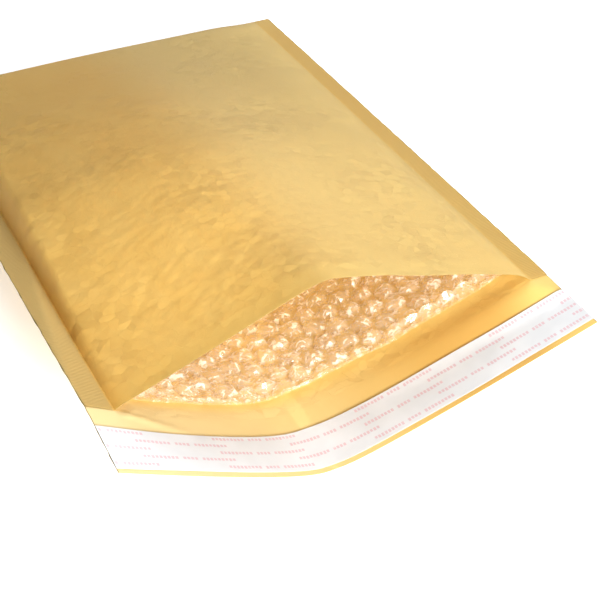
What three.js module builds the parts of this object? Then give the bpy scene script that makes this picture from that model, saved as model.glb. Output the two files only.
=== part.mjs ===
// Padded mailing envelope lying on its back with its mouth squeezed open and its flap unfolded.
// One kraft sheet is folded over at the closed end and sealed along both sides; one bubble-film sheet,
// folded the same way, lines the pocket. The flap is the bare end of the kraft sheet, and it carries a
// layer of adhesive under a peel-off strip.
// Millimetres, +Z up, +Y towards the closed end, origin on the table under the middle of the pack.
import * as THREE from 'three';

// Driving dimensions: the flat pack
const SHEET_WIDTH = 241;
const POCKET_LENGTH = 329;
const FLAP_LENGTH = 39;
const LEFT_MARGIN = 13;
const RIGHT_MARGIN = 10;
const PAPER = 0.6;
const FILM = 3.6;
const CLEARANCE = 0.3;
const STRIP_NEAR = 12.3;
const STRIP_FAR = 36.5;
const ADHESIVE_INSET = 2.5;
const STRIP_LAYER = 0.35;
const LINER_SETBACK = 9;

// Driving dimensions: how the pack lies, as heights over the table and half widths from the middle
const MOUTH_LEFT_HEIGHT = 44.4;
const MOUTH_RIGHT_HEIGHT = 33.2;
const END_LEFT_HEIGHT = 10.5;
const END_RIGHT_HEIGHT = 9.5;
const FLAP_LEFT_DROP = 0.6;
const FLAP_RIGHT_LIFT = 1.2;
const MOUTH_LEFT_REACH = 113.5;
const MOUTH_RIGHT_REACH = 113;
const FLAP_LEFT_REACH = 113.1;
const FLAP_RIGHT_REACH = 113.5;
const END_REACH = 119.6;
const END_SPREAD = 0.8;

// Driving dimensions: the trough, whose flat bottom widens and whose sides steepen from the flap's
// front edge over the mouth to the closed end
const TROUGH = 101;
const TROUGH_BEND = 9;
const TROUGH_HALF_FLAT = [2, 4, 62];
const TROUGH_POWER = [1.1, 1.26, 2.01];
const FLAP_ROUNDING = 12;
const FLAT_REACH = 0.9;
const POWER_REACH = 0.7;
const LEFT_LEVEL_RUN = 150;
const RIGHT_LEVEL_RUN = 20;

// Driving dimensions: the upper panel's ridge, and the body that swells beside the left and right seam
const RIDGE_SHARE = 0.475;
const RIDGE_RISE = 36.5;
const RIDGE_FADE = 0.85;
const RIDGE_ROUND = [0.11, 0.4];
const RIDGE_ROUND_RUN = 80;
const PILLOW = 0.6;
const PILLOW_RUN = 90;
const PILLOW_EDGE = [0.42, 0.76];
const MOUTH_PUFF = [0.8, 3.5];
const BODY_PUFF = [12, 10];
const END_PUFF = [6, 6];
const BODY_RUN = 150;
const END_START = 180;
const END_RUN = 140;
const LEFT_SHOULDER = [5, 9];
const RIGHT_SHOULDER = [14, 40];
const LEFT_SHOULDER_RUN = 200;
const RIGHT_SHOULDER_RUN = 160;
const SWELL_POWER = 2.4;
const FOLD_LENGTH = 16;
const LINING_SHARE = 0.42;

const POCKET_WIDTH = SHEET_WIDTH - LEFT_MARGIN - RIGHT_MARGIN;
const MIDDLE = (POCKET_LENGTH - FLAP_LENGTH) / 2;

const clamp = (value) => Math.min(Math.max(value, 0), 1);
const mix = (from, to, share) => from + (to - from) * share;
const ease = (value) => clamp(value) ** 2 * (3 - 2 * clamp(value));
const swell = (share) => 1 - (1 - clamp(share)) ** SWELL_POWER;

// A place on the pack is (across, along): mm from the left edge of the flat sheet, and mm from the
// mouth, negative on the flap.

// The two long edges: where they run and how high they lie.
function edges(along) {
  const inward = clamp(along / POCKET_LENGTH);
  const outward = clamp(-along / FLAP_LENGTH);
  const spread = inward ** END_SPREAD;
  const left = mix(mix(-MOUTH_LEFT_REACH, -END_REACH, spread), -FLAP_LEFT_REACH, outward);
  const right = mix(mix(MOUTH_RIGHT_REACH, END_REACH, spread), FLAP_RIGHT_REACH, outward);
  const leftHeight = mix(MOUTH_LEFT_HEIGHT, END_LEFT_HEIGHT, inward) - FLAP_LEFT_DROP * outward;
  const rightHeight = mix(MOUTH_RIGHT_HEIGHT, END_RIGHT_HEIGHT, inward) + FLAP_RIGHT_LIFT * outward;
  return { left, right, leftHeight, rightHeight };
}

// How far the fold at the closed end has opened: 0 on the fold, 1 a fold length inside it.
const foldShare = (along) => swell((POCKET_LENGTH - along) / FOLD_LENGTH);

// A run up the trough's side, which starts in a soft bend.
const bentRun = (run) => Math.hypot(Math.max(run, 0), TROUGH_BEND) - TROUGH_BEND;

// A value given at the flap's front edge, at the mouth and at the closed end.
function graded([front, mouth, end], along, reach) {
  const rounding = ease((along + FLAP_LENGTH) / (FLAP_LENGTH + FLAP_ROUNDING));
  return front + (mouth - front) * rounding + (end - mouth) * ease(along / (reach * POCKET_LENGTH));
}

// Underside of the lower panel and the flap: a trough that lies flat on the table further in.
function lowerHeight(across, along) {
  const { leftHeight, rightHeight } = edges(along);
  const halfFlat = graded(TROUGH_HALF_FLAT, along, FLAT_REACH);
  const power = graded(TROUGH_POWER, along, POWER_REACH);
  const leftLevel = LEFT_MARGIN * ease(along / LEFT_LEVEL_RUN);
  const rightLevel = RIGHT_MARGIN * ease((along + RIGHT_LEVEL_RUN) / RIGHT_LEVEL_RUN);
  const leftRun = bentRun(TROUGH - across - halfFlat);
  const rightRun = bentRun(across - TROUGH - halfFlat);
  const leftRise = clamp(leftRun / bentRun(TROUGH - halfFlat - leftLevel));
  const rightRise = clamp(rightRun / bentRun(SHEET_WIDTH - TROUGH - halfFlat - rightLevel));
  const trough = leftHeight * leftRise ** power + rightHeight * rightRise ** power;
  const fold = mix(leftHeight, rightHeight, clamp((across - LEFT_MARGIN) / POCKET_WIDTH));
  return mix(fold, trough, foldShare(along));
}

// The ridge's outline from seam to seam, 1 high: a tent at the mouth, and further in a pillow on the
// left of the ridge.
function roofShare(fromLeft, along) {
  const leftSlope = fromLeft / RIDGE_SHARE;
  const rightSlope = (1 - fromLeft) / (1 - RIDGE_SHARE);
  const round = mix(RIDGE_ROUND[0], RIDGE_ROUND[1], ease(along / RIDGE_ROUND_RUN));
  const tent = (leftSlope + rightSlope - Math.hypot(leftSlope - rightSlope, round)) / 2;
  const pillow = 1 - (1 - clamp(Math.min(leftSlope, rightSlope))) ** 2;
  const [edgeStart, edgeEnd] = PILLOW_EDGE;
  const onLeft = 1 - ease((fromLeft - edgeStart) / (edgeEnd - edgeStart));
  return Math.max(mix(tent, pillow, PILLOW * ease(along / PILLOW_RUN) * onLeft), 0);
}

// How far the upper panel stands over the line between the seams: a ridge that dies away inwards,
// on a body that swells quickly beside each seam.
function swellHeight(across, along) {
  const fromLeft = clamp((across - LEFT_MARGIN) / POCKET_WIDTH);
  const opening = clamp(1 - along / POCKET_LENGTH) ** RIDGE_FADE;
  const puff = [0, 1].map((side) => {
    const body = mix(MOUTH_PUFF[side], BODY_PUFF[side], ease(along / BODY_RUN));
    return mix(body, END_PUFF[side], ease((along - END_START) / END_RUN));
  });
  const leftRun = mix(LEFT_SHOULDER[0], LEFT_SHOULDER[1], ease(along / LEFT_SHOULDER_RUN));
  const rightRun = mix(RIGHT_SHOULDER[0], RIGHT_SHOULDER[1], ease(along / RIGHT_SHOULDER_RUN));
  const shoulders = swell((fromLeft * POCKET_WIDTH) / leftRun)
    * swell(((1 - fromLeft) * POCKET_WIDTH) / rightRun);
  const ridge = RIDGE_RISE * opening * roofShare(fromLeft, along);
  return (ridge + mix(puff[0], puff[1], fromLeft) * shoulders) * foldShare(along);
}

// Height of the upper panel over the underside: nothing on the margins, where the two are sealed.
function pocketHeight(across, along) {
  if (across <= LEFT_MARGIN || across >= SHEET_WIDTH - RIGHT_MARGIN) return 0;
  const fromLeft = (across - LEFT_MARGIN) / POCKET_WIDTH;
  const seam = mix(
    lowerHeight(LEFT_MARGIN, along),
    lowerHeight(SHEET_WIDTH - RIGHT_MARGIN, along),
    fromLeft,
  );
  return seam + swellHeight(across, along) - lowerHeight(across, along);
}

// The four skins of the shell, from the table up.
const shellSkins = {
  outerLower: lowerHeight,
  innerLower: (across, along) => lowerHeight(across, along) + PAPER,
  innerUpper: (across, along) => lowerHeight(across, along) + PAPER + pocketHeight(across, along),
  outerUpper: (across, along) => lowerHeight(across, along) + 2 * PAPER + pocketHeight(across, along),
};

// The four skins of the lining, which thins out where the pocket closes on it.
const filmAt = (across, along) => Math.min(
  FILM,
  LINING_SHARE * (pocketHeight(across, along) - 2 * CLEARANCE),
);
const filmSkins = {
  outerLower: (across, along) => shellSkins.innerLower(across, along) + CLEARANCE,
  innerLower: (across, along) => filmSkins.outerLower(across, along) + filmAt(across, along),
  innerUpper: (across, along) => filmSkins.outerUpper(across, along) - filmAt(across, along),
  outerUpper: (across, along) => shellSkins.innerUpper(across, along) - CLEARANCE,
};

// A body made of skins over a grid of places, sewn together with quads.
class SkinBody {
  constructor(columns, rows) {
    this.columns = columns;
    this.rows = rows;
    this.positions = [];
    this.faces = [];
    this.names = new Map();
  }

  vertex(skin, column, row, height) {
    const name = `${skin} ${column} ${row}`;
    if (!this.names.has(name)) {
      const across = this.columns[column];
      const along = this.rows[row];
      const { left, right } = edges(along);
      this.names.set(name, this.positions.length / 3);
      this.positions.push(mix(left, right, across / SHEET_WIDTH), along - MIDDLE, height(across, along));
    }
    return this.names.get(name);
  }

  quad(a, b, c, d) {
    this.faces.push(a, b, c, a, c, d);
  }

  // A skin over a block of the grid; facing is 1 for upwards and -1 for downwards.
  skin(corner, [firstColumn, lastColumn], [firstRow, lastRow], facing) {
    for (let column = firstColumn; column < lastColumn; column += 1) {
      for (let row = firstRow; row < lastRow; row += 1) {
        const near = corner(column, row);
        const right = corner(column + 1, row);
        const far = corner(column + 1, row + 1);
        const left = corner(column, row + 1);
        if (facing > 0) this.quad(near, right, far, left);
        else this.quad(near, left, far, right);
      }
    }
  }

  // A wall between two skins along a run of grid places, seen from outside with the run going right.
  wall(lower, upper, run) {
    run.slice(1).forEach(([column, row], step) => {
      const [lastColumn, lastRow] = run[step];
      this.quad(
        lower(lastColumn, lastRow),
        lower(column, row),
        upper(column, row),
        upper(lastColumn, lastRow),
      );
    });
  }

  geometry() {
    const geometry = new THREE.BufferGeometry();
    geometry.setAttribute('position', new THREE.Float32BufferAttribute(this.positions, 3));
    geometry.setIndex(this.faces);
    geometry.computeVertexNormals();
    return geometry;
  }
}

const range = (from, to) => Array.from({ length: Math.abs(to - from) + 1 },
  (_, step) => from + Math.sign(to - from) * step);

// A folded and side-sealed sheet: closed outside, with a pocket that is open at its mouth row.
// cavity gives the grid lines on which the pocket's two inner skins meet.
function foldedSheet({ columns, rows, mouthRow, cavity, skins }) {
  const body = new SkinBody(columns, rows);
  const lastColumn = columns.length - 1;
  const lastRow = rows.length - 1;
  const outerLower = (i, j) => body.vertex('outerLower', i, j, skins.outerLower);
  const innerLower = (i, j) => body.vertex('innerLower', i, j, skins.innerLower);
  const outerUpper = (i, j) => body.vertex('outerUpper', i, j, skins.outerUpper);
  const middle = (across, along) => (skins.innerLower(across, along)
    + skins.innerUpper(across, along)) / 2;
  const pinched = (i, j) => i <= cavity.first || i >= cavity.last || j >= cavity.end;
  const cavityLower = (i, j) => (pinched(i, j)
    ? body.vertex('pinch', i, j, middle) : innerLower(i, j));
  const cavityUpper = (i, j) => (pinched(i, j)
    ? body.vertex('pinch', i, j, middle) : body.vertex('innerUpper', i, j, skins.innerUpper));
  const rim = (i, j) => (i >= cavity.first && i <= cavity.last && j === mouthRow
    ? cavityLower(i, j) : innerLower(i, j));
  const sleeve = [mouthRow, lastRow];

  body.skin(outerLower, [0, lastColumn], [0, lastRow], -1);
  body.skin(rim, [0, lastColumn], [0, mouthRow], 1);
  body.skin(outerUpper, [0, lastColumn], sleeve, 1);
  body.skin(cavityLower, [cavity.first, cavity.last], [mouthRow, cavity.end], 1);
  body.skin(cavityUpper, [cavity.first, cavity.last], [mouthRow, cavity.end], -1);

  const lip = (i, j) => (i >= cavity.first && i <= cavity.last ? cavityUpper(i, j) : innerLower(i, j));
  body.wall(lip, outerUpper, range(0, lastColumn).map((i) => [i, mouthRow]));
  body.wall(outerLower, rim, range(0, lastColumn).map((i) => [i, 0]));
  const rightSide = range(0, lastRow).map((j) => [lastColumn, j]);
  const back = range(lastColumn, 0).map((i) => [i, lastRow]);
  const leftSide = range(lastRow, 0).map((j) => [0, j]);
  [rightSide, back, leftSide].forEach((run) => body.wall(outerLower, innerLower, run));
  body.wall(innerLower, outerUpper, rightSide.slice(mouthRow));
  body.wall(innerLower, outerUpper, back);
  body.wall(innerLower, outerUpper, leftSide.slice(0, leftSide.length - mouthRow));
  return body.geometry();
}

// A flat strip laid on the flap.
function flapStrip({ columns, rows, base, thickness }) {
  const body = new SkinBody(columns, rows);
  const lift = (extra) => (across, along) => shellSkins.innerLower(across, along) + base + extra;
  const under = (i, j) => body.vertex('under', i, j, lift(0));
  const top = (i, j) => body.vertex('top', i, j, lift(thickness));
  const lastColumn = columns.length - 1;
  const lastRow = rows.length - 1;
  body.skin(under, [0, lastColumn], [0, lastRow], -1);
  body.skin(top, [0, lastColumn], [0, lastRow], 1);
  body.wall(under, top, range(0, lastColumn).map((i) => [i, 0]));
  body.wall(under, top, range(0, lastRow).map((j) => [lastColumn, j]));
  body.wall(under, top, range(lastColumn, 0).map((i) => [i, lastRow]));
  body.wall(under, top, range(lastRow, 0).map((j) => [0, j]));
  return body.geometry();
}

// Grid lines, closer together beside the seams and the closed end, with one along the ridge.
const HALF_COLUMNS = 9;
const POCKET_ROWS = 14;
const ridgeWidth = RIDGE_SHARE * POCKET_WIDTH;
const grading = range(0, HALF_COLUMNS).map((step) => 1 - Math.cos((Math.PI * step) / (2 * HALF_COLUMNS)));
const pocketColumns = [
  ...grading.map((share) => LEFT_MARGIN + ridgeWidth * share),
  ...grading.slice(0, -1).reverse().map((share) => LEFT_MARGIN + POCKET_WIDTH
    - (POCKET_WIDTH - ridgeWidth) * share),
];
const columns = [0, LEFT_MARGIN / 2, ...pocketColumns, SHEET_WIDTH - RIGHT_MARGIN / 2, SHEET_WIDTH];
const pocketRows = range(0, POCKET_ROWS).map(
  (step) => LINER_SETBACK
    + (POCKET_LENGTH - LINER_SETBACK) * Math.sin((Math.PI * step) / (2 * POCKET_ROWS)),
);
const flapRows = [-FLAP_LENGTH, -STRIP_FAR, -(STRIP_FAR + STRIP_NEAR) / 2, -STRIP_NEAR, 0];
const rows = [...flapRows, ...pocketRows];

function finish(color, roughness) {
  return new THREE.MeshStandardMaterial({ color, roughness, metalness: 0 });
}

function named(name, geometry, material) {
  const mesh = new THREE.Mesh(geometry, material);
  mesh.name = name;
  return mesh;
}

// Kraft paper: lower panel with the flap, folded over at the closed end into the upper panel.
function kraftPaperShell() {
  const geometry = foldedSheet({
    columns,
    rows,
    mouthRow: flapRows.length - 1,
    cavity: { first: 2, last: columns.length - 3, end: rows.length - 2 },
    skins: shellSkins,
  });
  return named('kraft_paper_shell', geometry, finish(0xdfb56c, 0.75));
}

// Bubble film: set back from the mouth, and stopping short of the seams and the fold.
function bubbleLiner() {
  const filmColumns = pocketColumns.slice(1, -1);
  const filmRows = pocketRows.slice(0, -2);
  const geometry = foldedSheet({
    columns: filmColumns,
    rows: filmRows,
    mouthRow: 0,
    cavity: { first: 1, last: filmColumns.length - 2, end: filmRows.length - 2 },
    skins: filmSkins,
  });
  return named('bubble_liner', geometry, finish(0xf4d3a8, 0.2));
}

// Adhesive: a band of hot melt on the flap, narrower than the strip that covers it.
function adhesiveStrip() {
  const inset = [columns[1], ...columns.slice(2, -2), columns.at(-2)];
  const geometry = flapStrip({
    columns: inset,
    rows: [ADHESIVE_INSET - STRIP_FAR, -(STRIP_FAR + STRIP_NEAR) / 2, -STRIP_NEAR - ADHESIVE_INSET],
    base: CLEARANCE,
    thickness: STRIP_LAYER,
  });
  return named('adhesive_strip', geometry, finish(0xe9e2c4, 0.35));
}

// Release liner: the peel-off paper strip over the adhesive, running to both side edges.
function releaseLiner() {
  const geometry = flapStrip({
    columns,
    rows: [-STRIP_FAR, -(STRIP_FAR + STRIP_NEAR) / 2, -STRIP_NEAR],
    base: 2 * CLEARANCE + STRIP_LAYER,
    thickness: STRIP_LAYER,
  });
  return named('release_liner', geometry, finish(0xeeebe6, 0.45));
}

const paddedEnvelope = new THREE.Group();
paddedEnvelope.name = 'padded_envelope';
paddedEnvelope.add(kraftPaperShell(), bubbleLiner(), adhesiveStrip(), releaseLiner());

export default paddedEnvelope;
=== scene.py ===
from math import cos, pi, radians

import bpy
import numpy as np
from mathutils import Matrix, Vector


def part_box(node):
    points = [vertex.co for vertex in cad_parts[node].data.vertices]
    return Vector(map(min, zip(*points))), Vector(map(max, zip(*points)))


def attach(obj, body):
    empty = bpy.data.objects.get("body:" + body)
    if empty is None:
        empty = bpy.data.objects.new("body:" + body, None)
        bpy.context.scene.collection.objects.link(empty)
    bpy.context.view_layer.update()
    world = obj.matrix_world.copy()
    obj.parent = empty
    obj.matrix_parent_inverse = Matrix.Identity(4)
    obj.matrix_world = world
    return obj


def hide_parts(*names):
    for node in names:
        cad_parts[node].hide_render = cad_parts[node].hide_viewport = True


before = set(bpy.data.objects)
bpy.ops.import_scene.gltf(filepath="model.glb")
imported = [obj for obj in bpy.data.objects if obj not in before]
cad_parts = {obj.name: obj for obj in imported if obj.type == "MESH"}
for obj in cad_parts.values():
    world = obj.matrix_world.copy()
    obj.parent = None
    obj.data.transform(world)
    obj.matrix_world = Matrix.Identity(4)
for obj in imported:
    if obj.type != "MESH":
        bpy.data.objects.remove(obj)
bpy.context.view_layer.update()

MM = 0.001
shell_low, shell_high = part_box("kraft_paper_shell")
strip_low, strip_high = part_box("release_liner")

# ---------------------------------------------------------------------------------------------
# Camera: a portrait lens held over the left corner of the flap, looking down into the mouth of
# the pack and along it towards the closed end.
CAMERA_PLACE = Vector((-190.9, -498.9, 401.3)) * MM
CAMERA_DOWN = 0.7052
CAMERA_TURN = -0.4573
CAMERA_ROLL = 0.0067
CAMERA_SENSOR = 36
CAMERA_LENS = 74.03

bpy.ops.object.select_all(action="DESELECT")
bpy.ops.object.camera_add()
camera = bpy.context.object
camera.name = "camera"
camera.data.sensor_width = CAMERA_SENSOR
camera.data.lens = CAMERA_LENS
turn = Matrix.Rotation(CAMERA_TURN, 4, "Z") @ Matrix.Rotation(pi / 2 - CAMERA_DOWN, 4, "X")
camera.matrix_world = Matrix.Translation(CAMERA_PLACE) @ turn @ Matrix.Rotation(CAMERA_ROLL, 4, "Z")
bpy.context.scene.camera = camera

# ---------------------------------------------------------------------------------------------
# Kraft sheet: one piece of golden kraft paper, cut 241 mm wide, folded over at the closed end so
# that it makes the lower panel with the flap and the upper panel. Heated crimping bars seal both
# side margins through the film; everywhere else the paper is puckered by the bubbles under it.
WIDTH = 241 * MM
LEFT_MARGIN = 13 * MM
RIGHT_MARGIN = 10 * MM
POCKET_WIDTH = WIDTH - LEFT_MARGIN - RIGHT_MARGIN
FLAP = 39 * MM
MOUTH = shell_low.y + FLAP
POCKET = shell_high.y - MOUTH
PAPER = 0.16 * MM
SEAL = 0.26 * MM
LEFT_HEIGHTS = (43.8 * MM, 44.4 * MM, 10.5 * MM)
RIGHT_HEIGHTS = (34.4 * MM, 33.2 * MM, 9.5 * MM)
LEFT_REACHES = (113.1 * MM, 113.5 * MM, -shell_low.x)
RIGHT_REACHES = (113.5 * MM, 113 * MM, shell_high.x)
TROUGH = 101 * MM
TROUGH_BEND = 9 * MM
FLAT_HALF = (2 * MM, 2 * MM, 58 * MM)    # at the flap's front, and what the mouth and the end add
BEND_POWER = (1.1, 0.16, 0.75)           # the same, for how the trough's sides curve
FLAT_REACH = 0.9
BEND_REACH = 0.7
MOUTH_ROUNDED = 12 * MM
LEFT_LEVEL_RUN = 150 * MM
RIGHT_LEVEL_RUN = 20 * MM
RIDGE_SHARE = 0.475
RIDGE_RISE = 36.5 * MM
RIDGE_FADE = 0.85
RIDGE_ROUND = (0.11, 0.4)
RIDGE_ROUND_RUN = 80 * MM
PILLOW = 0.6
PILLOW_RUN = 90 * MM
PILLOW_EDGE = (0.42, 0.76)
MOUTH_PUFF = (0.8 * MM, 3.5 * MM)
BODY_PUFF = (12 * MM, 10 * MM)
END_PUFF = (6 * MM, 6 * MM)
BODY_RUN = 150 * MM
END_START = 180 * MM
END_RUN = 140 * MM
LEFT_SHOULDER = (5 * MM, 9 * MM)
RIGHT_SHOULDER = (14 * MM, 40 * MM)
LEFT_SHOULDER_RUN = 200 * MM
RIGHT_SHOULDER_RUN = 160 * MM
SWELL_POWER = 2.4
FOLD = 16 * MM


def mix(low, high, share):
    return low + (high - low) * share


def clamp(value):
    return np.clip(value, 0, 1)


def ease(value):
    return clamp(value) ** 2 * (3 - 2 * clamp(value))


def swell(share):
    return 1 - (1 - clamp(share)) ** SWELL_POWER


def between(values, along, spread=1.0):
    """A value at a place along the pack, from those at the flap's front, the mouth and the end."""
    front, mouth, end = values
    return mix(mix(mouth, end, clamp(along / POCKET) ** spread), front, clamp(-along / FLAP))


def place(across, along, height):
    """Sets up a place on the flat sheet, across from its left edge and along from the mouth."""
    left = -between(LEFT_REACHES, along, 0.8)
    right = between(RIGHT_REACHES, along, 0.8)
    return np.stack([mix(left, right, across / WIDTH), along + MOUTH, height], -1)


def rounded(reach):
    """A reach that starts from nothing in a soft bend."""
    return np.hypot(np.maximum(reach, 0), TROUGH_BEND) - TROUGH_BEND


def lower_height(across, along):
    """The underside of the pack: a trough at the mouth that lies flat on the table further in."""
    left = between(LEFT_HEIGHTS, along)
    right = between(RIGHT_HEIGHTS, along)
    rounding = ease((along + FLAP) / (FLAP + MOUTH_ROUNDED))
    flat = FLAT_HALF[0] + FLAT_HALF[1] * rounding + FLAT_HALF[2] * ease(along / (FLAT_REACH * POCKET))
    bend = BEND_POWER[0] + BEND_POWER[1] * rounding + BEND_POWER[2] * ease(along / (BEND_REACH * POCKET))
    left_level = LEFT_MARGIN * ease(along / LEFT_LEVEL_RUN)
    right_level = RIGHT_MARGIN * ease((along + RIGHT_LEVEL_RUN) / RIGHT_LEVEL_RUN)
    left_rise = clamp(rounded(TROUGH - across - flat) / rounded(TROUGH - flat - left_level))
    right_rise = clamp(rounded(across - TROUGH - flat) / rounded(WIDTH - TROUGH - flat - right_level))
    trough = left * left_rise**bend + right * right_rise**bend
    fold = mix(left, right, clamp((across - LEFT_MARGIN) / POCKET_WIDTH))
    return mix(fold, trough, swell((POCKET - along) / FOLD))


def pocket_height(across, along):
    """How far the upper panel stands over the lower one: nothing on the sealed margins."""
    from_left = clamp((across - LEFT_MARGIN) / POCKET_WIDTH)
    left_slope = from_left / RIDGE_SHARE
    right_slope = (1 - from_left) / (1 - RIDGE_SHARE)
    rounding = mix(*RIDGE_ROUND, ease(along / RIDGE_ROUND_RUN))
    roof = (left_slope + right_slope - np.hypot(left_slope - right_slope, rounding)) / 2
    pillow = 1 - (1 - clamp(np.minimum(left_slope, right_slope))) ** 2
    edge_start, edge_end = PILLOW_EDGE
    on_left = 1 - ease((from_left - edge_start) / (edge_end - edge_start))
    roof = mix(roof, pillow, PILLOW * ease(along / PILLOW_RUN) * on_left)
    ridge = RIDGE_RISE * clamp(1 - along / POCKET) ** RIDGE_FADE * np.maximum(roof, 0)
    inner = ease(along / BODY_RUN)
    end = ease((along - END_START) / END_RUN)
    left_puff, right_puff = (
        mix(mix(mouth, body, inner), last, end)
        for mouth, body, last in zip(MOUTH_PUFF, BODY_PUFF, END_PUFF))
    puff = mix(left_puff, right_puff, from_left)
    left_run = mix(*LEFT_SHOULDER, ease(along / LEFT_SHOULDER_RUN))
    right_run = mix(*RIGHT_SHOULDER, ease(along / RIGHT_SHOULDER_RUN))
    shoulders = swell(from_left * POCKET_WIDTH / left_run)
    shoulders = shoulders * swell((1 - from_left) * POCKET_WIDTH / right_run)
    rise = (ridge + puff * shoulders) * swell((POCKET - along) / FOLD)
    left_seam = lower_height(np.full_like(across, LEFT_MARGIN), along)
    right_seam = lower_height(np.full_like(across, WIDTH - RIGHT_MARGIN), along)
    height = mix(left_seam, right_seam, from_left) + rise - lower_height(across, along)
    return np.where((from_left > 0) & (from_left < 1), np.maximum(height, 0), 0)


def facets(x, y, seed):
    """Random heights from -1 to 1, joined by flat triangles one unit across, as in crushed paper."""
    table = np.random.default_rng(seed).uniform(-1, 1, (64, 64))
    i, j = np.floor(x).astype(int), np.floor(y).astype(int)
    u, v = x - i, y - j
    a, b = table[i % 64, j % 64], table[(i + 1) % 64, j % 64]
    c, d = table[i % 64, (j + 1) % 64], table[(i + 1) % 64, (j + 1) % 64]
    near = a + (b - a) * u + (c - a) * v
    far = d + (c - d) * (1 - u) + (b - d) * (1 - v)
    return np.where(u + v < 1, near, far)


def waves(x, y, seed):
    """Smooth random heights from -1 to 1, one unit apart."""
    table = np.random.default_rng(seed).uniform(-1, 1, (64, 64))
    i, j = np.floor(x).astype(int), np.floor(y).astype(int)
    u, v = ease(x - i), ease(y - j)
    low = mix(table[i % 64, j % 64], table[(i + 1) % 64, j % 64], u)
    high = mix(table[i % 64, (j + 1) % 64], table[(i + 1) % 64, (j + 1) % 64], u)
    return mix(low, high, v)


BUBBLE_PITCH = 11.6 * MM
BUBBLE_START = Vector((154.0, 55.7)) * MM


def bubble_offset(across, along):
    """From a place on the film to the middle of its nearest bubble, and that bubble's own number."""
    column_pitch = BUBBLE_PITCH * cos(pi / 6)
    best = np.full(across.shape, 1e9)
    offset = np.zeros(across.shape + (2,))
    number = np.zeros(across.shape, int)
    nearest = np.round((across - BUBBLE_START.x) / column_pitch)
    for step in (-1, 0, 1):
        column = nearest + step
        shift = BUBBLE_START.y + 0.5 * BUBBLE_PITCH * (column % 2)
        row = np.round((along - shift) / BUBBLE_PITCH)
        dx = across - BUBBLE_START.x - column * column_pitch
        dy = along - shift - row * BUBBLE_PITCH
        closer = dx**2 + dy**2 < best
        best = np.where(closer, dx**2 + dy**2, best)
        offset = np.where(closer[..., None], np.stack([dx, dy], -1), offset)
        number = np.where(closer, (column * 71 + row * 131).astype(int) % 997, number)
    return offset, number


def sheet_normals(points):
    """Normals of a grid of points, on the side that faces into the pocket."""
    across = np.gradient(points, axis=1)
    along = np.gradient(points, axis=0)
    normals = np.cross(across, along)
    return normals / np.maximum(np.linalg.norm(normals, axis=-1, keepdims=True), 1e-12)


def flat_grid(name, columns, rows):
    """A flat unit grid with the given grid lines, ready to be set up."""
    bpy.ops.object.select_all(action="DESELECT")
    bpy.ops.mesh.primitive_grid_add(
        x_subdivisions=len(columns) - 1, y_subdivisions=len(rows) - 1, size=1, calc_uvs=True
    )
    sheet = bpy.context.object
    sheet.name = name
    sheet.data.name = name
    return sheet


def grid_index(sheet, columns, rows):
    """Which grid column and row each vertex of a flat unit grid stands on."""
    flat = np.empty(len(sheet.data.vertices) * 3)
    sheet.data.vertices.foreach_get("co", flat)
    flat = flat.reshape(-1, 3)
    column = np.rint((flat[:, 0] + 0.5) * (len(columns) - 1)).astype(int)
    row = np.rint((flat[:, 1] + 0.5) * (len(rows) - 1)).astype(int)
    return column, row


def write_sheet(sheet, places, across, along):
    """Puts every vertex in its place, and its place on the flat sheet into the UV map, from 0 to 1."""
    sheet.data.vertices.foreach_set("co", places.ravel())
    loops = np.empty(len(sheet.data.loops), int)
    sheet.data.loops.foreach_get("vertex_index", loops)
    uv = np.stack([across[loops], along[loops]], -1)
    sheet.data.uv_layers.active.data.foreach_set("uv", uv.ravel())
    sheet.data.update()


def smooth(piece, degrees):
    bpy.ops.object.select_all(action="DESELECT")
    piece.select_set(True)
    bpy.context.view_layer.objects.active = piece
    bpy.ops.object.shade_smooth_by_angle(angle=radians(degrees))


def spaced(stops):
    """Grid lines from a list of (place, number of steps from the last place)."""
    lines = [np.array([stops[0][0]])]
    for (start, _), (end, steps) in zip(stops, stops[1:]):
        lines.append(np.linspace(start, end, steps + 1)[1:])
    return np.concatenate(lines)


SHEET_RUN = FLAP + 2 * POCKET
COARSE, FINE, DOMES, GATHERS, BUCKLE = 0.115, 0.12, 0.08, 0.13, 0.15    # heights of relief, in mm
COARSE_FACET = (7.5 * MM, 4.8 * MM)      # these four: across the pack, and along it
FINE_FACET = (4.2 * MM, 2.7 * MM)
CRUSHED_PLACE = (78 * MM, 55 * MM)
CRUSHED_SPREAD = (46 * MM, 75 * MM)
MOUTH_WAVE = 0.9 * MM
CORNER_RIDGE = 0.9 * MM
RAGGED = 0.22 * MM
RAGGED_BAND = 2 * MM


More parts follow.
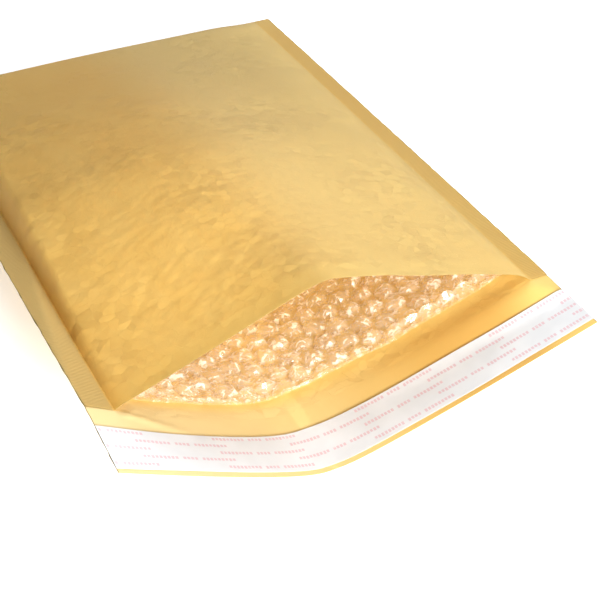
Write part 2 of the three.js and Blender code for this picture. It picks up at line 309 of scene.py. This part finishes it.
def kraft_creases(across, along, upper):
    """How far the paper stands off its plain shape, towards the pocket: crushed facets that run
    down from the ridge to both sides, the faint tops of the bubbles, and gathers at the seams."""
    run = along + np.where(upper, 400 * MM, 0)
    ridge = across - LEFT_MARGIN - RIDGE_SHARE * POCKET_WIDTH
    bent = waves(across / (13 * MM), run / (11 * MM), 1)
    slant = run + 0.75 * np.where(upper, -1, 1) * np.minimum(ridge, 0) - 0.2 * np.maximum(ridge, 0)
    coarse = facets(across / COARSE_FACET[0] + 0.9 * bent, slant / COARSE_FACET[1] + 0.9 * bent, 2)
    fine = facets(across / FINE_FACET[0] - 1.1 * bent, slant / FINE_FACET[1] + 0.9 * bent, 3)
    offset, _ = bubble_offset(across, along)
    dome = np.exp(-((np.hypot(offset[..., 0], offset[..., 1]) / (3.6 * MM)) ** 2))
    patches = ease(0.55 + 0.9 * waves(across / (30 * MM), run / (26 * MM), 4))
    crushed = np.exp(-((across - CRUSHED_PLACE[0]) / CRUSHED_SPREAD[0]) ** 2
                     - ((along - CRUSHED_PLACE[1]) / CRUSHED_SPREAD[1]) ** 2)
    strength = (0.22 + 0.78 * crushed) * mix(0.3, 1, patches)
    from_left = across - LEFT_MARGIN
    seam = np.minimum(from_left, WIDTH - RIGHT_MARGIN - across)
    body = ease(seam / (12 * MM)) * ease((along - 4 * MM) / (20 * MM))
    relief = (COARSE * coarse + FINE * fine - DOMES * dome) * strength * body
    gathers = facets(across / (22 * MM), (run + 0.35 * from_left) / (3.6 * MM), 5)
    hold = ease(seam / (3 * MM)) * ease((19 * MM - seam) / (15 * MM)) * ease(along / (22 * MM))
    buckle = waves(across / (45 * MM), run / (24 * MM), 6)
    relief = relief + GATHERS * gathers * hold
    relief = relief + BUCKLE * buckle * ease((along + FLAP) / (20 * MM)) * ease(seam / (18 * MM))
    return relief * MM


def kraft_sheet():
    columns = spaced([(0, 0), (LEFT_MARGIN, 7), (22 * MM, 12), (150 * MM, 108), (206 * MM, 24),
                      (WIDTH - RIGHT_MARGIN, 12), (WIDTH, 5)])
    rows = spaced([(0, 0), (FLAP, 20), (FLAP + 150 * MM, 40), (FLAP + POCKET - FOLD, 14),
                   (FLAP + POCKET, 8), (FLAP + POCKET + FOLD, 8), (SHEET_RUN - 160 * MM, 50),
                   (SHEET_RUN, 150)])
    sheet = flat_grid("kraft_paper", columns, rows)
    column, row = grid_index(sheet, columns, rows)
    run, across = np.meshgrid(rows, columns, indexing="ij")
    upper = run > FLAP + POCKET
    along = np.where(upper, SHEET_RUN - run, run - FLAP)
    relief = kraft_creases(across, along, upper)
    room = pocket_height(across, along) + SEAL
    mouth_wave = MOUTH_WAVE * waves(across / (21 * MM), along * 0 + 0.5, 7)
    mouth_wave = mouth_wave * np.exp(-along / (30 * MM)) * ease(room / (12 * MM))
    corner = ((across - LEFT_MARGIN) * 0.36 + along) / (1.7 * MM)
    corner_ridge = CORNER_RIDGE * np.exp(-np.abs(corner)) * ease((across - LEFT_MARGIN) / (3 * MM)) * (
        ease((50 * MM - across) / (26 * MM)))
    lower = lower_height(across, along) + PAPER + np.maximum(relief, 0.0) * (along > 0)
    lower = lower + relief * (along <= 0) * ease(lower / (6 * MM)) + corner_ridge * (along < 0)
    high = lower_height(across, along) + PAPER + room + mouth_wave - relief
    points = place(across, along, np.where(upper, high, lower))
    ragged = RAGGED * waves(run / (3 * MM), run * 0, 8)
    edge = ease((across - WIDTH + RAGGED_BAND) / RAGGED_BAND) - ease((RAGGED_BAND - across) / RAGGED_BAND)
    points[..., 0] += ragged * edge
    places = points[row, column]
    write_sheet(sheet, places, across[row, column] / WIDTH, run[row, column] / SHEET_RUN)
    solidify = sheet.modifiers.new("paper", "SOLIDIFY")
    solidify.thickness = PAPER
    solidify.offset = -1
    bpy.ops.object.modifier_apply(modifier="paper")
    smooth(sheet, 50)
    return sheet


class Wire:
    """A node tree, or a socket in it that takes arithmetic: an expression on it adds Math nodes."""

    def __init__(self, tree, socket=None):
        self.tree = tree
        self.socket = socket

    def add(self, kind, settings, inputs, output=0):
        """Adds a node: its settings first, then the values or links of its sockets."""
        node = self.tree.nodes.new(kind)
        for name, value in settings.items():
            setattr(node, name, value)
        for name, value in inputs.items():
            if isinstance(value, Wire):
                self.tree.links.new(value.socket, node.inputs[name])
            else:
                node.inputs[name].default_value = value
        return Wire(self.tree, node.outputs[output] if node.outputs else None)

    def math(self, operation, *values):
        return self.add("ShaderNodeMath", {"operation": operation}, dict(enumerate(values)))

    def each(self, operation):
        """A Math node of this value alone, such as SINE or FLOOR."""
        return self.math(operation, self)

    def vector(self, operation, first, second, output=0):
        return self.add("ShaderNodeVectorMath", {"operation": operation}, {0: first, 1: second}, output)

    def __add__(self, other):
        return self.math("ADD", self, other)

    def __sub__(self, other):
        return self.math("SUBTRACT", self, other)

    def __mul__(self, other):
        return self.math("MULTIPLY", self, other)

    def __truediv__(self, other):
        return self.math("DIVIDE", self, other)

    def __radd__(self, other):
        return self.math("ADD", other, self)

    def __rsub__(self, other):
        return self.math("SUBTRACT", other, self)

    def __rmul__(self, other):
        return self.math("MULTIPLY", other, self)

    def __lt__(self, other):
        return self.math("LESS_THAN", self, other)

    def __gt__(self, other):
        return self.math("GREATER_THAN", self, other)

    def step(self, low, high):
        """0 below low, 1 above high, and smooth between; low may be above high."""
        settings = {"interpolation_type": "SMOOTHSTEP"}
        return self.add("ShaderNodeMapRange", settings, {0: self, 1: low, 2: high, 3: 0.0, 4: 1.0})

    def parts(self):
        """The separate numbers of a vector."""
        split = self.add("ShaderNodeSeparateXYZ", {}, {0: self})
        node = split.socket.node
        return [Wire(self.tree, out) for out in node.outputs]

    def mixed(self, low, high, share):
        """A colour between two, by a plain number or a socket."""
        settings = {"data_type": "RGBA", "clamp_factor": True}
        return self.add("ShaderNodeMix", settings, {0: share, 6: low, 7: high}, output=2)

    def blend(self, low, high):
        """A colour between two, by this number."""
        return self.mixed(low, high, self)

    def noise(self, vector, scale, detail=2.0, roughness=0.5):
        """A noise between 0 and 1."""
        inputs = {"Vector": vector, "Scale": scale, "Detail": detail, "Roughness": roughness}
        return self.add("ShaderNodeTexNoise", {"normalize": True}, inputs)


def new_material(name):
    material = bpy.data.materials.new(name)
    material.use_nodes = True
    material.node_tree.nodes.clear()
    return material, Wire(material.node_tree)


def surface(wire, inputs):
    """Ends a material: one Principled shader, and the output."""
    shader = wire.add("ShaderNodeBsdfPrincipled", {}, inputs)
    wire.add("ShaderNodeOutputMaterial", {}, {"Surface": shader})


def flat_sheet_place(wire, length):
    """The place on the flat sheet in metres: a vector, and its two numbers."""
    uv = wire.add("ShaderNodeTexCoord", {}, {}, output=2)
    scaled = wire.add("ShaderNodeMapping", {}, {"Vector": uv, "Scale": (WIDTH, length, 1)})
    across, run, _ = scaled.parts()
    return scaled, across, run


def stretched(wire, vector, scale):
    return wire.add("ShaderNodeMapping", {}, {"Vector": vector, "Scale": scale})


def bump(wire, height, distance, strength=1.0, normal=None):
    inputs = {"Height": height, "Distance": distance, "Strength": strength}
    if normal is not None:
        inputs["Normal"] = normal
    return wire.add("ShaderNodeBump", {}, inputs)


def crinkle(wire, vector, stretch, scale, tilt):
    """Small flat facets of slack film, each tilted its own way: a height in metres."""
    pulled = stretched(wire, vector, stretch)
    inputs = {"Vector": pulled, "Scale": scale, "Randomness": 1.0}
    middle = wire.add("ShaderNodeTexVoronoi", {"feature": "F1"}, inputs, output=2)
    colour = wire.add("ShaderNodeTexVoronoi", {"feature": "F1"}, inputs, output=1)
    away = wire.vector("SUBTRACT", pulled, middle)
    lean = wire.vector("SUBTRACT", colour, (0.5, 0.5, 0.5))
    return wire.vector("DOT_PRODUCT", away, lean, output=1) * tilt


KRAFT = (0.76, 0.535, 0.155, 1)
KRAFT_PALE = (0.79, 0.61, 0.23, 1)
KRAFT_DEEP = (0.70, 0.43, 0.09, 1)
KRAFT_PAINTED_SHEEN = (0.70, 0.60, 0.27, 1)
KRAFT_SEALED = (0.55, 0.43, 0.19, 1)
KRAFT_PAINTED_FLAP_SHEEN = (0.71, 0.60, 0.35, 1)
KRAFT_SHADED = (0.60, 0.35, 0.085, 1)
KRAFT_PAINTED_EDGE_SHADE = (0.16, 0.125, 0.06, 1)
CRIMP_PITCH = 1.15 * MM
TRANSLUCENCY = 0.14
UPPER_TRANSLUCENCY = 0.3
GLOW = (1.0, 0.86, 0.47, 1)


def kraft_material():
    material, wire = new_material("kraft_paper")
    vector, across, run = flat_sheet_place(wire, SHEET_RUN)
    mottle = wire.noise(stretched(wire, vector, (1, 0.6, 1)), 45, 4, 0.6)
    fibres = wire.noise(stretched(wire, vector, (1, 0.12, 1)), 2600, 3, 0.7)
    specks = wire.noise(vector, 900, 2, 0.5)
    colour = mottle.step(0.25, 0.8).blend(KRAFT_DEEP, KRAFT_PALE)
    colour = wire.mixed(colour, KRAFT, 0.72)
    upper = run.step(FLAP + POCKET - 30 * MM, FLAP + POCKET + 30 * MM)
    # Right half of the upper panel made paler: painted sheen of the light from behind at the right.
    painted_sheen = upper * across.step(90 * MM, 150 * MM) * (across < WIDTH - RIGHT_MARGIN)
    colour = (painted_sheen * 0.65).blend(colour, KRAFT_PAINTED_SHEEN)
    colour = (fibres.step(0.35, 0.75) * 0.22).blend(colour, KRAFT_PALE)
    colour = (specks.step(0.66, 0.78) * 0.3).blend(colour, KRAFT_DEEP)
    # Side cut edges darkened: painted shadow of the paper's thickness.
    edge = (across < 0.35 * MM) + (across > WIDTH - 0.35 * MM)
    margin = across.step(LEFT_MARGIN - 0.4 * MM, LEFT_MARGIN - 1.2 * MM) + (
        across.step(WIDTH - RIGHT_MARGIN + 0.4 * MM, WIDTH - RIGHT_MARGIN + 1.2 * MM))
    sealed = margin * (run > FLAP)
    inner_side = (1 - margin) * (run > FLAP)
    wobble = wire.noise(stretched(wire, vector, (0.25, 1, 1)), 220, 2, 0.5)
    crimps = ((run / CRIMP_PITCH + wobble * 0.6) * (2 * pi)).each("SINE") * 0.5 + 0.5
    flap = run.step(FLAP + 12 * MM, FLAP + 3 * MM)
    # Flap made paler towards its left: painted sheen.
    colour = (flap * across.step(200 * MM, 20 * MM) * 0.7).blend(colour, KRAFT_PAINTED_FLAP_SHEEN)
    shaded = flap * across.step(110 * MM, 190 * MM) * across.step(237 * MM, 205 * MM)
    colour = (shaded * 0.9).blend(colour, KRAFT_SHADED)
    colour = (sealed * (0.3 + 0.45 * (across < LEFT_MARGIN))).blend(colour, KRAFT_SEALED)
    colour = (sealed * crimps * 0.18).blend(colour, KRAFT_DEEP)
    # A band inside the left seam made darker: painted shade of the steep shoulder beside the seam.
    painted_seam_shade = across.step(LEFT_MARGIN + 9 * MM, LEFT_MARGIN) * inner_side
    colour = (painted_seam_shade * 0.5).blend(colour, KRAFT_DEEP)
    # Mouth edge darkened: painted shade that holds back the lit rim.
    painted_lip_shade = run > SHEET_RUN - 0.1 * MM
    colour = (edge * 0.85 + painted_lip_shade * 0.8).blend(colour, KRAFT_PAINTED_EDGE_SHADE)
    worn = wire.noise(vector, 24, 2, 0.5).step(0.4, 0.65)
    crushed = crinkle(wire, vector, (0.8, 1, 1), 230, 0.13) * inner_side * (0.25 + 0.75 * worn)
    height = crushed + (crimps * sealed * 0.3 + fibres * 0.03) * (0.45 * MM)
    normal = bump(wire, height, 1.0)
    paper = wire.add("ShaderNodeBsdfPrincipled", {}, {
        "Base Color": colour,
        "Roughness": mottle.step(0.2, 0.9) * 0.1 + 0.54 + sealed * 0.1,
        "Specular IOR Level": 0.36,
        "Normal": normal,
    })
    thin = TRANSLUCENCY + upper * UPPER_TRANSLUCENCY
    glow = wire.add("ShaderNodeBsdfTranslucent", {}, {"Color": GLOW, "Normal": normal})
    mixed = wire.add("ShaderNodeMixShader", {}, {0: thin, 1: paper, 2: glow})
    wire.add("ShaderNodeOutputMaterial", {}, {"Surface": mixed})
    return material


kraft = kraft_sheet()
kraft.data.materials.append(kraft_material())
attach(kraft, "root")
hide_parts("kraft_paper_shell")

# ---------------------------------------------------------------------------------------------
# Bubble film: clear polyethylene, one film drawn up into round air bubbles and one flat film
# welded to its back. One sheet lines both panels, with its bubbles turned into the pocket, cut
# a little short of the mouth and melted flat between the papers in both side seams.
FILM_BACK = 0.45 * MM
FILM_WEB = 0.25 * MM
FILM_INSET = 0.4 * MM
BUBBLE_RADIUS = 5.1 * MM
BUBBLE_RISE = 3.5 * MM
BUBBLE_SHOULDER = 2.6
BUBBLE_ROUND = 0.62
FIRST_PLEAT = 9.5 * MM
SECOND_PLEAT = 4.2 * MM
CUT_BACK = 1.5 * MM
CUT_SLANT = 1.8 * MM
CUT_WAVE = 0.9 * MM
CUT_REACH = 16 * MM
FILM_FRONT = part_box("bubble_liner")[0].y - MOUTH
FILM_END = POCKET - 1.5 * MM
FILM_RUN = 2 * (FILM_END - FILM_FRONT)


def film_relief(across, along):
    """How far the film stands in from its back: the round bubbles, each a little slack in its own
    way, drawn flat at the front edge, and the pleats that run along that edge."""
    offset, number = bubble_offset(across, along)
    own = np.random.default_rng(21).uniform(-1, 1, (997, 4))[number]
    x = offset[..., 0] * (1 + 0.05 * own[..., 0])
    y = offset[..., 1] * (1 + 0.05 * own[..., 1])
    distance = np.hypot(x, y) / BUBBLE_RADIUS
    lean = (x * own[..., 2] + y * own[..., 3]) / BUBBLE_RADIUS
    dome = np.maximum(1 - distance**BUBBLE_SHOULDER, 0) ** BUBBLE_ROUND * (1 + 0.22 * lean)
    dents = waves(across / (2.6 * MM), along / (2.6 * MM), 22)
    dome = dome * (0.93 + 0.10 * own[..., 1]) + 0.16 * dents * (distance < 1) * (1 - distance**2)
    from_front = along - FILM_FRONT
    pressed = mix(0.25, 1, ease((from_front - 3 * MM) / (9 * MM)))
    web = 0.10 * waves(across / (5 * MM), along / (3 * MM), 23)
    patchy = ease(0.5 + 1.4 * waves(across / (22 * MM), along * 0, 24))
    line = from_front - FIRST_PLEAT - 1.6 * MM * waves(across / (30 * MM), along * 0, 25)
    pleat = np.exp(-((line / (0.9 * MM)) ** 2)) * patchy * 0.42
    second = from_front - SECOND_PLEAT - 1.2 * MM * waves(across / (18 * MM), along * 0, 26)
    pleat = pleat + 0.22 * np.exp(-((second / (0.8 * MM)) ** 2)) * (1 - patchy)
    crumple = 0.12 * facets(across / (9 * MM), along / (2.6 * MM), 27)
    crumple = crumple * ease((16 * MM - from_front) / (10 * MM))
    rise = np.maximum(dome * pressed + web + pleat + crumple, 0.02)
    rim = np.exp(-(((distance - 0.98) / 0.13) ** 2))
    return rise, ease(dome * 1.6), np.maximum(rim, pleat)


def bubble_film():
    columns = spaced([(FILM_INSET, 0), (LEFT_MARGIN, 7), (WIDTH - RIGHT_MARGIN, 214),
                      (WIDTH - FILM_INSET, 4)])
    half = FILM_RUN / 2
    rows = spaced([(0, 0), (92 * MM, 98), (half - 12 * MM, 68), (half, 5), (half + 12 * MM, 5),
                   (FILM_RUN - 70 * MM, 62), (FILM_RUN, 36)])
    sheet = flat_grid("bubble_film", columns, rows)
    bpy.ops.object.mode_set(mode="EDIT")
    bpy.ops.mesh.select_all(action="SELECT")
    bpy.ops.mesh.extrude_region()
    bpy.ops.object.mode_set(mode="OBJECT")
    column, row = grid_index(sheet, columns, rows)
    bubbled = np.empty(len(sheet.data.vertices), bool)
    sheet.data.vertices.foreach_get("select", bubbled)
    run, across = np.meshgrid(rows, columns, indexing="ij")
    upper = run > half
    from_front = np.where(upper, FILM_RUN - run, run)
    cut = CUT_BACK + CUT_SLANT * ease((across - 60 * MM) / (60 * MM))
    cut = cut + CUT_WAVE * waves(across / (16 * MM), run * 0, 31)
    along = FILM_FRONT + from_front + cut * np.exp(-from_front / CUT_REACH)
    room = pocket_height(across, along) + SEAL
    base = lower_height(across, along) + PAPER
    points = place(across, along, np.where(upper, base + room, base))
    normals = sheet_normals(points)
    back = np.minimum(FILM_BACK, 0.33 * room)
    web = np.minimum(FILM_WEB, 0.14 * room)
    open_seam = ease(room / (6 * MM) - 0.1)
    relief, bubble, rim = film_relief(across, along)
    rise = np.minimum(BUBBLE_RISE * relief, 0.34 * room) * open_seam
    inside = points + normals * (back + web + rise)[..., None]
    outside = points + normals * back[..., None]
    places = np.where(bubbled[:, None], inside[row, column], outside[row, column])
    write_sheet(sheet, places, across[row, column] / WIDTH, run[row, column] / FILM_RUN)
    for name, shape in (("bubble", bubble), ("rim", rim)):
        values = np.where(bubbled, shape[row, column], 0.5 if name == "bubble" else 0)
        sheet.data.attributes.new(name, "FLOAT", "POINT").data.foreach_set("value", values)
    bpy.ops.object.mode_set(mode="EDIT")
    bpy.ops.mesh.select_mode(type="FACE")
    bpy.ops.mesh.select_all(action="INVERT")
    bpy.ops.object.mode_set(mode="OBJECT")
    smooth(sheet, 60)
    return sheet


FILM_PALE = (1.0, 0.93, 0.82, 1)
FILM_PAINTED_WARM_GLOW = (1.0, 0.82, 0.52, 1)
FILM_MILK = (1.0, 0.88, 0.66, 1)
MILK_SHARE = 0.38


def crease_glint_line(wire, vector, turn, scale):
    """Thin broken lines of creased film lying across the sheet at a turn: partly the crease's own
    whitening, partly painted highlights on the wrinkles.
    """
    settings = {"vector_type": "TEXTURE"}
    inputs = {"Vector": vector, "Rotation": (0, 0, turn), "Scale": (4, 1, 1)}
    along = wire.add("ShaderNodeMapping", settings, inputs)
    off = wire.noise(along, scale, 1, 0.5) - 0.5
    broken = wire.noise(vector, 330, 2, 0.5).step(0.48, 0.56)
    return off.each("ABSOLUTE").step(0.06, 0.015) * broken


def film_material():
    material, wire = new_material("bubble_film")
    vector, _, run = flat_sheet_place(wire, FILM_RUN)
    bubble = wire.add("ShaderNodeAttribute", {"attribute_name": "bubble"}, {}, output=2)
    rim = wire.add("ShaderNodeAttribute", {"attribute_name": "rim"}, {}, output=2)
    haze = wire.noise(vector, 260, 4, 0.6)
    cut = run.step(5 * MM, 0.5 * MM) + run.step(FILM_RUN - 5 * MM, FILM_RUN - 0.5 * MM)
    facing = wire.add("ShaderNodeLayerWeight", {}, {"Blend": 0.35}, output=1)
    # Crease lines made more opaque and whiter: painted highlights on the film's wrinkles, partly real
    # whitening of the creases.
    streaks = crease_glint_line(wire, vector, 0.35, 300) + crease_glint_line(wire, vector, -0.5, 340)
    # More opaque, whiter film over the first 75 mm behind its front edge.
    front_band = run.step(75 * MM, 15 * MM)
    alpha = 0.11 + 0.06 * facing + rim * 0.10 + haze.step(0.5, 0.8) * 0.08 + streaks * 0.65
    alpha = alpha + front_band * 0.08 + cut * haze.step(0.35, 0.7) * 0.1
    height = crinkle(wire, vector, (0.5, 1, 1), 400, 0.6) + crinkle(wire, vector, (1, 0.7, 1), 230, 0.3)
    alpha = alpha * (1 - run.step(1.2 * MM, 0.3 * MM) * 0.75)
    normal = bump(wire, height * (0.8 - bubble * 0.5), 1.0)
    # Film paler at its front, warmer deeper in the pocket: painted warm glow of the orange light inside
    # the pocket.
    gloss = wire.add("ShaderNodeBsdfPrincipled", {}, {
        "Base Color": run.step(20 * MM, 75 * MM).blend(FILM_PALE, FILM_PAINTED_WARM_GLOW),
        "Metallic": 0.1,
        "Roughness": 0.12,
        "IOR": 1.8,
        "Coat Weight": 1.0,
        "Coat Roughness": 0.06,
        "Coat IOR": 2.0,
        "Normal": normal,
    })
    milk = wire.add("ShaderNodeBsdfTranslucent", {}, {"Color": FILM_MILK, "Normal": normal})
    body = wire.add("ShaderNodeMixShader", {}, {0: MILK_SHARE, 1: gloss, 2: milk})
    clear = wire.add("ShaderNodeBsdfTransparent", {}, {})
    mixed = wire.add("ShaderNodeMixShader", {}, {0: alpha, 1: clear, 2: body})
    wire.add("ShaderNodeOutputMaterial", {}, {"Surface": mixed})
    return material


film = bubble_film()
film.data.materials.append(film_material())
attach(film, "root")
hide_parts("bubble_liner")

# ---------------------------------------------------------------------------------------------
# Adhesive: a band of clear hot melt laid on the flap, a little narrower than the strip over it.
ADHESIVE_INSET = 2.5 * MM
ADHESIVE = 0.1 * MM
ADHESIVE_LIFT = 0.2 * MM
ADHESIVE_DEEP = (0.80, 0.66, 0.36, 1)
ADHESIVE_PALE = (0.88, 0.78, 0.52, 1)
STRIP_NEAR = MOUTH - strip_high.y
STRIP_FAR = MOUTH - strip_low.y


def flap_band(name, side_inset, near, far, lift, thickness, wave):
    """A thin band along the flap, raised over the paper by lift."""
    columns = np.linspace(side_inset, WIDTH - side_inset, 121)
    rows = np.linspace(-far, -near, 17)
    band = flat_grid(name, columns, rows)
    column, row = grid_index(band, columns, rows)
    along, across = np.meshgrid(rows, columns, indexing="ij")
    share = (along + far) / (far - near)
    drift = wave * waves(across / (35 * MM), along * 0, 41)
    height = lower_height(across, along) + PAPER + lift
    relief = kraft_creases(across, along, along > 1)
    points = place(across, along + drift * (2 * share - 1), height + np.maximum(relief, 0))
    write_sheet(band, points[row, column], across[row, column] / WIDTH, share[row, column])
    solidify = band.modifiers.new("layer", "SOLIDIFY")
    solidify.thickness = thickness
    solidify.offset = 1
    bpy.ops.object.modifier_apply(modifier="layer")
    smooth(band, 50)
    return band


def adhesive_material():
    material, wire = new_material("adhesive")
    vector, _, _ = flat_sheet_place(wire, STRIP_FAR - STRIP_NEAR)
    streaks = wire.noise(stretched(wire, vector, (0.3, 1, 1)), 700, 3, 0.5)
    surface(wire, {
        "Base Color": streaks.step(0.3, 0.7).blend(ADHESIVE_DEEP, ADHESIVE_PALE),
        "Roughness": 0.2 + streaks * 0.2,
        "Normal": bump(wire, streaks, 0.2 * MM),
    })
    return material


adhesive = flap_band("adhesive", ADHESIVE_INSET, STRIP_NEAR + ADHESIVE_INSET, STRIP_FAR - ADHESIVE_INSET,
                     ADHESIVE_LIFT, ADHESIVE, 0)
adhesive.data.materials.append(adhesive_material())
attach(adhesive, "root")
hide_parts("adhesive_strip")

# ---------------------------------------------------------------------------------------------
# Peel strip: white silicone-coated paper over the adhesive, running to both side edges. It is
# printed with five rows of small rose marks, in groups, every other row shifted by half a group.
STRIP_LIFT = 0.36 * MM
STRIP_PAPER = 0.12 * MM
STRIP_WIDTH = STRIP_FAR - STRIP_NEAR
STRIP_GREY = (0.605, 0.62, 0.64, 1)
STRIP_WHITE = (0.655, 0.67, 0.69, 1)
ROSE = (0.60, 0.30, 0.35, 1)
ROWS = 5
ROW_PITCH = 4.75 * MM
FIRST_ROW = 1.0 * MM
MARK_HEIGHT = 2.1 * MM
MARK_PITCH = 1.76 * MM
GROUP_PITCH = 73.5 * MM
MARK_GROUPS = ((0, 9), (10, 4), (15, 9))
GROUP_START = 51 * MM


def strip_material():
    material, wire = new_material("release_paper")
    vector, across, down = flat_sheet_place(wire, STRIP_WIDTH)
    from_near = STRIP_WIDTH - down
    line = ((from_near - FIRST_ROW) / ROW_PITCH).each("FLOOR")
    odd = (line * 0.5).each("FRACT") * 2
    in_row = (from_near - FIRST_ROW) - line * ROW_PITCH
    place_in_group = (across - GROUP_START + odd * (GROUP_PITCH / 2) + 10 * GROUP_PITCH) / GROUP_PITCH
    column = place_in_group.each("FRACT") * (GROUP_PITCH / MARK_PITCH)
    grouped = 0
    for start, length in MARK_GROUPS:
        grouped = (column > start) * (column < start + length) + grouped
    cell = column.each("FRACT")
    which = column.each("FLOOR")
    high = in_row / MARK_HEIGHT
    chance = wire.add("ShaderNodeTexWhiteNoise", {"noise_dimensions": "1D"}, {"W": which + line * 37})
    block = (cell > 0.16) * (cell < 0.84) * (high > 0.1) * (high < 0.8 + 0.2 * chance)
    marks = grouped * block * (line > -0.5) * (line < ROWS - 0.5)
    worn = wire.noise(vector, 900, 2, 0.5).step(0.2, 0.45)
    cloud = wire.noise(vector, 60, 3, 0.5)
    paper = cloud.step(0.3, 0.7).blend(STRIP_GREY, STRIP_WHITE)
    colour = (marks * worn * 0.6).blend(paper, ROSE)
    fine = wire.noise(vector, 1500, 3, 0.6)
    surface(wire, {
        "Base Color": colour,
        "Roughness": 0.34 + cloud * 0.14,
        "Specular IOR Level": 0.45,
        "Normal": bump(wire, fine * 0.15 + cloud, 0.25 * MM),
    })
    return material


strip = flap_band("peel_strip", 0.15 * MM, STRIP_NEAR, STRIP_FAR, STRIP_LIFT, STRIP_PAPER, 0.35 * MM)
strip.data.materials.append(strip_material())
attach(strip, "root")
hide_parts("release_liner")

# ---------------------------------------------------------------------------------------------
# Studio: a plain pale floor that glows faintly, a broad and a small soft light low in front of the
# mouth, which shine into the pocket, and two weaker ones high at the right and behind.
FLOOR_SIZE = 40
FLOOR_GLOW = 0.4
SKY = 0.38
bpy.ops.object.select_all(action="DESELECT")
bpy.ops.mesh.primitive_plane_add(size=FLOOR_SIZE)
floor = bpy.context.object
floor.name = "floor"
floor_material, floor_wire = new_material("floor")
surface(floor_wire, {
    "Base Color": (0.93, 0.93, 0.93, 1),
    "Roughness": 0.8,
    "Emission Color": (1, 1, 1, 1),
    "Emission Strength": FLOOR_GLOW,
})
floor.data.materials.append(floor_material)


def soft_light(name, place, size, power, colour):
    bpy.ops.object.select_all(action="DESELECT")
    bpy.ops.object.light_add(type="AREA", location=place)
    light = bpy.context.object
    light.name = name
    light.data.size = size
    light.data.energy = power
    light.data.color = colour
    light.rotation_euler = (-Vector(place)).to_track_quat("-Z", "Y").to_euler()
    return light


soft_light("front_light", (0.3, -1.65, 0.62), 0.9, 43, (1, 1, 1))
soft_light("spark_light", (0.0, -1.55, 0.42), 0.24, 35, (1, 0.97, 0.93))
soft_light("right_light", (1.2, -0.1, 1.25), 1.2, 4, (1, 1, 1))
soft_light("back_light", (0.95, 1.4, 1.1), 1.5, 17, (1, 1, 1))
world = bpy.data.worlds.new("studio")
bpy.context.scene.world = world
world.use_nodes = True
world.node_tree.nodes["Background"].inputs["Color"].default_value = (1, 1, 1, 1)
world.node_tree.nodes["Background"].inputs["Strength"].default_value = SKY
bpy.context.scene.view_settings.view_transform = "Standard"
bpy.context.scene.cycles.max_bounces = 16
bpy.context.scene.cycles.diffuse_bounces = 8
bpy.context.scene.cycles.transparent_max_bounces = 32
